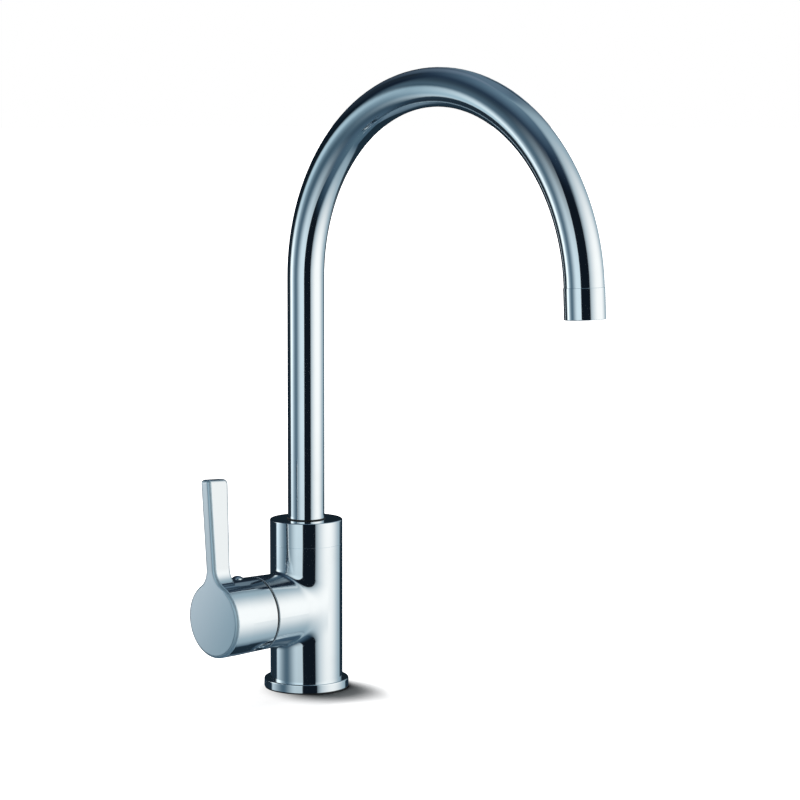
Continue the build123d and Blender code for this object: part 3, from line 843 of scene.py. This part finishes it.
# Steps per turn of a modelled thread, steps over which its ends fade, and how
# deep its root sits in the wall.
THREAD_STEPS = 40
THREAD_FADE = 20
THREAD_ROOT = 0.00005
# Half widths of the ridge at its foot and its crest, as shares of the pitch.
THREAD_FOOT = 0.42
THREAD_CREST = 0.08
# Pitch and ridge height of the hose inlets' thread and of the stud's.
INLET_THREAD = (0.001, 0.00054)
STUD_THREAD = (0.00125, 0.00068)
THREADS = {
    "cold_inlet": INLET_THREAD,
    "hot_inlet": INLET_THREAD,
    "filtered_inlet": INLET_THREAD,
    "fixing_stud": STUD_THREAD,
}


def closed_strip(shape, low, high):
    """Faces between two rings of as many points."""
    for a in range(len(low)):
        b = (a + 1) % len(low)
        shape.faces.new((low[a], low[b], high[b], high[a]))


def linked(name, data):
    """New object of a mesh, light or camera, in the scene's collection."""
    item = bpy.data.objects.new(name, data)
    bpy.context.scene.collection.objects.link(item)
    return item


def piece_of(name, shape):
    """Object made of a finished shape, with its faces turned outwards."""
    bmesh.ops.recalc_face_normals(shape, faces=shape.faces)
    mesh = bpy.data.meshes.new(name)
    shape.to_mesh(mesh)
    shape.free()
    return linked(name, mesh)


def screw_thread(mount, pitch, ridge):
    """Ridge that winds up the wall of a threaded hole, where the record places it."""
    radius = mount["dims"]["r_mm"] / MM_PER_M
    # One turn's room is left free at each end.
    turns = (mount["dims"]["length_mm"] / MM_PER_M - pitch) / pitch - 1.0
    steps = int(turns * THREAD_STEPS)
    foot = Vector(mount["pos_m"])
    section = (
        (-THREAD_ROOT, -THREAD_FOOT * pitch),
        (ridge, -THREAD_CREST * pitch),
        (ridge, THREAD_CREST * pitch),
        (-THREAD_ROOT, THREAD_FOOT * pitch),
    )
    shape = bmesh.new()
    rings = []
    for i in range(steps + 1):
        turn = 2 * math.pi * i / THREAD_STEPS
        fade = min(1.0, (i + 1) / THREAD_FADE, (steps + 1 - i) / THREAD_FADE)
        rise = pitch * (i / THREAD_STEPS + 1.0)
        ring = []
        for inwards, along in section:
            reach = radius - (inwards * fade if inwards > 0 else inwards)
            away = Vector((math.cos(turn) * reach, math.sin(turn) * reach, rise + along))
            ring.append(shape.verts.new(foot + away))
        rings.append(ring)
    for low, high in zip(rings, rings[1:]):
        closed_strip(shape, low, high)
    shape.faces.new(rings[0])
    shape.faces.new(rings[-1])
    return piece_of(mount["name"] + "_thread", shape)


# Soft lip round the tube's foot: how far it stands out and up, how deep it
# reaches into the collar's bore, its play round the tube and its steps.
LIP_OUT = 0.0005
LIP_UP = 0.0007
LIP_DEEP = 0.0003
LIP_PLAY = 0.00002
LIP_STEPS = 128
# Its outline above the collar, as shares of how far it stands out and up, and
# the share of its width that it keeps inside the bore.
LIP_OUTLINE = ((1.0, 0.1), (0.9, 0.6), (0.5, 1.0), (0.0, 1.0))
LIP_INSIDE = 0.5


def turned(name, profile, steps):
    """Closed ring turned round the spout's axis from radius and height pairs."""
    shape = bmesh.new()
    rings = []
    for i in range(steps):
        turn = 2 * math.pi * i / steps
        ring = [shape.verts.new((r * math.cos(turn), r * math.sin(turn), z)) for r, z in profile]
        rings.append(ring)
    for low, high in zip(rings, rings[1:] + rings[:1]):
        closed_strip(shape, low, high)
    for face in shape.faces:
        face.smooth = True
    return piece_of(name, shape)


class TAP_OT_lip(bpy.types.Operator):
    """Black lip that closes the gap between the spout's foot and its collar"""

    bl_idname = "tap.lip"
    bl_label = "Spout lip"

    def execute(self, context):
        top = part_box("spout_collar")[1][2]
        inner = TUBE_RADIUS + LIP_PLAY
        profile = [(inner, top - LIP_DEEP), (inner + LIP_OUT * LIP_INSIDE, top - LIP_DEEP)]
        for out, up in LIP_OUTLINE:
            profile.append((inner + LIP_OUT * out, top + LIP_UP * up))
        lip = turned("spout_lip", profile, LIP_STEPS)
        lip.data.materials.append(bpy.data.materials["Seal rubber"])
        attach(lip, "body")
        return {"FINISHED"}


class TAP_OT_threads(bpy.types.Operator):
    """Screw threads in the underside: three hose inlets and the fixing stud's socket"""

    bl_idname = "tap.threads"
    bl_label = "Threads"

    def execute(self, context):
        mounts = {mount["name"]: mount for mount in frame["record"]["mounts"]}
        for name, (pitch, ridge) in THREADS.items():
            thread = screw_thread(mounts[name], pitch, ridge)
            thread.data.materials.append(bpy.data.materials["Turned brass"])
            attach(thread, "body")
        return {"FINISHED"}


# The dome is a few soft patches over a ramp. Most of their places and tones were
# fitted to the reflections on the photographed tap, then adjusted and rounded.
# The ramp runs from straight down to straight up, in degrees, with the linear
# colour at each stop.
DOME_RAMP = [
    (-90, (0.09, 0.16, 0.21)),
    (-60, (0.06, 0.11, 0.16)),
    (-45, (0.023, 0.05, 0.08)),
    (0, (0.009, 0.017, 0.024)),
    (40, (0.006, 0.013, 0.027)),
    (55, (0.02, 0.04, 0.07)),
    (72, (0.08, 0.14, 0.2)),
    (90, (0.15, 0.24, 0.31)),
]
# Left, right, bottom, top and the softness of each, in degrees, then the colour.
# Azimuth 0 is behind the camera, and grows to the picture's right.
DOME_PANELS = [
    ((-106, -34, -37, 35, 14, 15, 60, 50), (0.09, 0.16, 0.22)),
    ((-108, -91, -23, 15.5, 5.7, 46, 45, 14), (1.04, 1.29, 1.42)),
    ((-49, -12.5, -33, 30, 36, 4, 60, 56), (0.68, 0.85, 0.94)),
    ((-176, -142, -64, -33, 50, 30, 8, 14), (0.15, 0.23, 0.3)),
    ((-184, -153, 42, 84, 40, 50, 60, 6), (0.15, 0.22, 0.3)),
    ((138, 188, 19, 78, 50, 40, 28, 5), (0.11, 0.18, 0.25)),
    ((-140, -122, -64, 52, 4, 34, 60, 8), (0.014, 0.024, 0.036)),
]
# Middle, level, half width, half height and softness, then the colour.
DOME_GLOWS = [
    ((90, 3, 60, 79, 0.42), (0.32, 0.45, 0.53)),
    ((78.5, 2, 35, 40, 1.5), (1.03, 1.08, 1.09)),
    ((-101.5, 4.5, 8.4, 12, 1.9), (1.08, 1.24, 1.3)),
]
# Darker patches over the glows, laid out like the panels.
DOME_SHADES = [
    ((-12.5, 30, -38, 43, 4, 2.5, 16, 25), (0.005, 0.009, 0.015)),
    ((138, 188, -64, -12, 8, 10, 5, 10), (0.012, 0.027, 0.043)),
    ((150, 168, 36, 45, 6, 6, 4, 6), (0.012, 0.028, 0.046)),
    ((164, 182, 25, 38, 6, 6, 4, 4), (0.13, 0.19, 0.24)),
]
# The dome's colours were fitted with a metal of this neutral tone, so the
# plating's own tint is taken out of them.
NEUTRAL = 0.9
# The dome's middle, and its rows of faces from bottom to top and round it.
DOME_MIDDLE = (0.0, -0.08, 0.2)
DOME_ROWS = 32
DOME_AROUND = 64
# Painted contact shadow on the floor, darkening the paper's colour by ambient
# occlusion: its reach, the rays that find it, and the openness over which it
# fades. Then the paper's own white.
FLOOR_CONTACT = 0.045
FLOOR_RAYS = 12
FLOOR_OPEN = (0.5, 0.95)
FLOOR_WHITE = 0.9
# Middle of the circle where the shadow is kept, to the picture's right of the tap
# and towards the camera, and the distances from there over which the floor's
# painted white comes in.
SHADOW_MIDDLE = (0.017, 0.014)
SHADOW_FADE = (0.015, 0.049)
# Screen that dims the dome's lit side for the arch: distance left of the tap's
# axis, half its length, heights over which it gets dense and clears again, the
# distances towards the camera over which it ends, and the light it lets through.
SCREEN_SIDE = -0.08
SCREEN_HALF = 0.4
SCREEN_FADE_IN = (0.27, 0.33)
SCREEN_FADE_OUT = (0.41, 0.45)
SCREEN_END = (0.13, 0.08)
SCREEN_PASS = (0.43, 0.52, 0.57)
WHITE = (1.0, 1.0, 1.0, 1.0)


def view_axes(settings):
    """Level directions to the picture's right and towards the camera."""
    a = settings.azimuth
    return Vector((math.cos(a), math.sin(a), 0.0)), Vector((math.sin(a), -math.cos(a), 0.0))


def stage_piece(name, points, faces, material, *unseen):
    """Stage object that the given kinds of ray don't see."""
    mesh = bpy.data.meshes.new(name)
    mesh.from_pydata(points, [], faces)
    mesh.materials.append(material)
    piece = linked(name, mesh)
    for ray in unseen:
        setattr(piece, "visible_" + ray, False)
    return piece


def dome_shape(radius):
    """Points and faces of a ball, which look inwards."""
    points = [(0, 0, -radius)]
    for i in range(1, DOME_ROWS):
        tilt = math.pi * i / DOME_ROWS - math.pi / 2
        level, height = radius * math.cos(tilt), radius * math.sin(tilt)
        for j in range(DOME_AROUND):
            turn = 2 * math.pi * j / DOME_AROUND
            points.append((level * math.cos(turn), level * math.sin(turn), height))
    points.append((0, 0, radius))
    faces = []
    top_row = 1 + (DOME_ROWS - 2) * DOME_AROUND
    for j in range(DOME_AROUND):
        k = (j + 1) % DOME_AROUND
        faces.append((0, 1 + k, 1 + j))
        faces.append((top_row + j, top_row + k, len(points) - 1))
        for low in range(1, top_row, DOME_AROUND):
            high = low + DOME_AROUND
            faces.append((low + j, low + k, high + k, high + j))
    return points, faces


def dome_angles(tree, camera_azimuth):
    """Azimuth from behind the camera and elevation of a place on the dome, in degrees."""
    place_xyz = axes(tree, vector_math(tree, "NORMALIZE", place(tree)))
    turn = math_node(tree, "ARCTAN2", place_xyz["Y"], place_xyz["X"])
    turn = math_node(tree, "MULTIPLY", turn, math.degrees(1.0))
    turn = math_node(tree, "ADD", turn, 90.0 - math.degrees(camera_azimuth))
    tilt = math_node(tree, "ARCSINE", place_xyz["Z"])
    return {
        "Azimuth": math_node(tree, "WRAP", turn, 180.0, -180.0),
        "Elevation": math_node(tree, "MULTIPLY", tilt, math.degrees(1.0)),
    }


def dome_ramp(tree, elevation):
    """Colour of the bare dome from straight down to straight up."""
    share_up = math_node(tree, "DIVIDE", math_node(tree, "ADD", elevation, 90.0), 180.0)
    ramp = add(tree, "ShaderNodeValToRGB", {"Fac": share_up})
    elements = ramp.color_ramp.elements
    elements[0].position, elements[-1].position = 0.0, 1.0
    for level, _ in DOME_RAMP[1:-1]:
        elements.new((level + 90.0) / 180.0)
    for element, (_, light) in zip(elements, DOME_RAMP):
        element.color = rgba(light)
    return ramp.outputs["Color"]


class TAP_OT_stage(bpy.types.Operator):
    """Camera, white floor, soft light and the studio dome that the plating mirrors"""

    bl_idname = "tap.stage"
    bl_label = "Stage"

    def execute(self, context):
        settings = context.scene.tap_stage
        self.add_camera(context, settings)
        self.add_world(context, settings)
        self.add_floor(settings)
        self.add_dome(context, settings)
        self.add_screen(settings)
        self.add_lamp(settings)
        return {"FINISHED"}

    def add_camera(self, context, settings):
        tilt, roll = settings.elevation, settings.roll
        right, forwards = view_axes(settings)
        back = forwards * math.cos(tilt) + Vector((0, 0, math.sin(tilt)))
        up = back.cross(right)
        target = right * settings.camera_side + Vector((0, 0, settings.camera_height))
        side = right * math.cos(roll) + up * math.sin(roll)
        top = up * math.cos(roll) - right * math.sin(roll)
        camera = linked("Camera", bpy.data.cameras.new("Camera"))
        turn = Matrix((side, top, back)).transposed().to_4x4()
        camera.matrix_world = Matrix.Translation(target + back * settings.camera_distance) @ turn
        camera.data.sensor_width = 36.0
        camera.data.lens = settings.lens
        camera.data.clip_start = 0.01
        camera.data.clip_end = 200.0
        context.scene.camera = camera

    def add_world(self, context, settings):
        world = bpy.data.worlds.new("Studio")
        context.scene.world = world
        world.use_nodes = True
        tree = world.node_tree
        tree.nodes.clear()
        out = tree.nodes.new("ShaderNodeOutputWorld")
        path = tree.nodes.new("ShaderNodeLightPath")
        seen = path.outputs["Is Camera Ray"]
        for ray in ("Is Glossy Ray", "Is Transmission Ray"):
            seen = math_node(tree, "MAXIMUM", seen, path.outputs[ray])
        fill = add(tree, "ShaderNodeBackground", {"Color": WHITE, "Strength": settings.fill})
        white = add(tree, "ShaderNodeBackground", {"Color": WHITE, "Strength": 1.0})
        mix = add(tree, "ShaderNodeMixShader", {0: seen, 1: fill.outputs[0], 2: white.outputs[0]})
        tree.links.new(mix.outputs[0], out.inputs["Surface"])
        context.scene.view_settings.view_transform = "Standard"

    def add_floor(self, settings):
        material, tree, out = new_material("Floor paper")
        reach = {"Distance": FLOOR_CONTACT}
        near = add(tree, "ShaderNodeAmbientOcclusion", reach, samples=FLOOR_RAYS)
        # Painted contact shadow: the paper's colour darkens where ambient occlusion finds the tap
        # close by.
        painted_contact_shadow = step(tree, near.outputs["AO"], *FLOOR_OPEN)
        paper = blend_value(tree, painted_contact_shadow, 0.0, FLOOR_WHITE)
        diffuse = add(tree, "ShaderNodeBsdfDiffuse", {"Color": paper})
        path = tree.nodes.new("ShaderNodeLightPath")
        # Painted light: for the camera the paper glows white outside a set circle round the tap's
        # foot, which hides the shadows that fall beyond it.
        right, forwards = view_axes(settings)
        middle = right * SHADOW_MIDDLE[0] + forwards * SHADOW_MIDDLE[1]
        offset = vector_math(tree, "SUBTRACT", place(tree), tuple(middle))
        far = step(tree, vector_math(tree, "LENGTH", offset), *SHADOW_FADE)
        strength = math_node(tree, "MULTIPLY", far, settings.floor_lift)
        lift = add(tree, "ShaderNodeEmission", {"Color": WHITE, "Strength": strength})
        painted_lit = add(tree, "ShaderNodeAddShader", {0: diffuse.outputs[0], 1: lift.outputs[0]})
        seen = path.outputs["Is Camera Ray"]
        mix = add(tree, "ShaderNodeMixShader", {0: seen, 1: diffuse.outputs[0], 2: painted_lit.outputs[0]})
        tree.links.new(mix.outputs[0], out.inputs["Surface"])
        half = settings.floor_size / 2
        corners = [(-half, -half, 0), (half, -half, 0), (half, half, 0), (-half, half, 0)]
        floor = stage_piece("studio_floor", corners, [(0, 1, 2, 3)], material, "glossy")

    def add_dome(self, context, settings):
        material, tree, out = new_material("Studio dome")
        angles = dome_angles(tree, settings.azimuth)
        chrome = context.scene.tap_finish.chrome
        colour = dome_ramp(tree, angles["Elevation"])
        panel_inputs = PANEL_SIDES + tuple(side + " Softness" for side in PANEL_SIDES)
        for group, inputs, patches in (
            (soft_panel(), panel_inputs, DOME_PANELS),
            (lamp_glow(), GLOW_INPUTS, DOME_GLOWS),
            (soft_panel(), panel_inputs, DOME_SHADES),
        ):
            for sizes, light in patches:
                untinted = [part * (NEUTRAL / own) for part, own in zip(light, chrome)]
                links = {"Under": colour, "Colour": rgba(untinted)}
                links.update(angles)
                links.update(zip(inputs, sizes))
                colour = placed(tree, group, links).outputs["Color"]
        glow = add(tree, "ShaderNodeEmission", {"Color": colour, "Strength": 1.0})
        tree.links.new(glow.outputs[0], out.inputs["Surface"])
        material.cycles.emission_sampling = "NONE"
        unseen = ("camera", "diffuse", "transmission", "shadow", "volume_scatter")
        dome = stage_piece("studio_dome", *dome_shape(settings.dome_radius), material, *unseen)
        dome.location = DOME_MIDDLE

    def add_screen(self, settings):
        """Smoked screen left of the arch; it dims the dome's lit side for the arch alone."""
        material, tree, out = new_material("Smoked screen")
        right, forwards = view_axes(settings)
        height = axes(tree, place(tree))["Z"]
        dense = step(tree, height, *SCREEN_FADE_IN)
        dense = math_node(tree, "SUBTRACT", dense, step(tree, height, *SCREEN_FADE_OUT))
        along = vector_math(tree, "DOT_PRODUCT", place(tree), tuple(forwards))
        dense = math_node(tree, "MULTIPLY", dense, step(tree, along, *SCREEN_END))
        passed = blend_colour(tree, dense, WHITE, rgba(SCREEN_PASS))
        glass = add(tree, "ShaderNodeBsdfTransparent", {"Color": passed})
        tree.links.new(glass.outputs[0], out.inputs["Surface"])
        foot = right * SCREEN_SIDE + Vector((0, 0, SCREEN_FADE_IN[0]))
        rise = Vector((0, 0, SCREEN_FADE_OUT[1] - SCREEN_FADE_IN[0]))
        reach = forwards * SCREEN_HALF
        corners = [foot - reach, foot + reach, foot + reach + rise, foot - reach + rise]
        unseen = ("camera", "diffuse", "shadow")
        screen = stage_piece("studio_screen", corners, [(0, 1, 2, 3)], material, *unseen)

    def add_lamp(self, settings):
        """Soft light from above; it throws a short shadow to the right and forwards."""
        light = bpy.data.lights.new("key", "SUN")
        light.energy = settings.sun_strength
        light.angle = settings.sun_angle
        lamp = linked("key", light)
        turn = settings.azimuth - settings.sun_azimuth
        level = math.cos(settings.sun_elevation)
        fall = math.sin(settings.sun_elevation)
        travel = Vector((math.cos(turn) * level, math.sin(turn) * level, -fall))
        lamp.rotation_euler = travel.to_track_quat("-Z", "Y").to_euler()
        lamp.visible_glossy = False


class TAP_PT_build(bpy.types.Panel):
    """Panel that lists the tap's steps and sizes"""

    bl_idname = "TAP_PT_build"
    bl_label = "Three way tap"
    bl_space_type = "VIEW_3D"
    bl_region_type = "UI"
    bl_category = "Tap"

    def draw(self, context):
        for operator in STEPS:
            self.layout.operator(operator.bl_idname)
        for group in (context.scene.tap_finish, context.scene.tap_stage):
            box = self.layout.box()
            for name in group.__annotations__:
                box.prop(group, name)


GROUPS = {"tap_finish": TapFinishSettings, "tap_stage": TapStageSettings}
STEPS = (
    TAP_OT_plated,
    TAP_OT_bare_metal,
    TAP_OT_seals,
    TAP_OT_ceramic,
    TAP_OT_mouldings,
    TAP_OT_lip,
    TAP_OT_threads,
    TAP_OT_stage,
)


def register():
    for name, group in GROUPS.items():
        bpy.utils.register_class(group)
        setattr(bpy.types.Scene, name, PointerProperty(type=group))
    for part in (*STEPS, TAP_PT_build):
        bpy.utils.register_class(part)


def unregister():
    for part in reversed((*STEPS, TAP_PT_build)):
        bpy.utils.unregister_class(part)
    for name, group in GROUPS.items():
        delattr(bpy.types.Scene, name)
        bpy.utils.unregister_class(group)


def main():
    register()
    for operator in STEPS:
        area, name = operator.bl_idname.split(".")
        getattr(getattr(bpy.ops, area), name)()


if __name__ == "__main__":
    main()
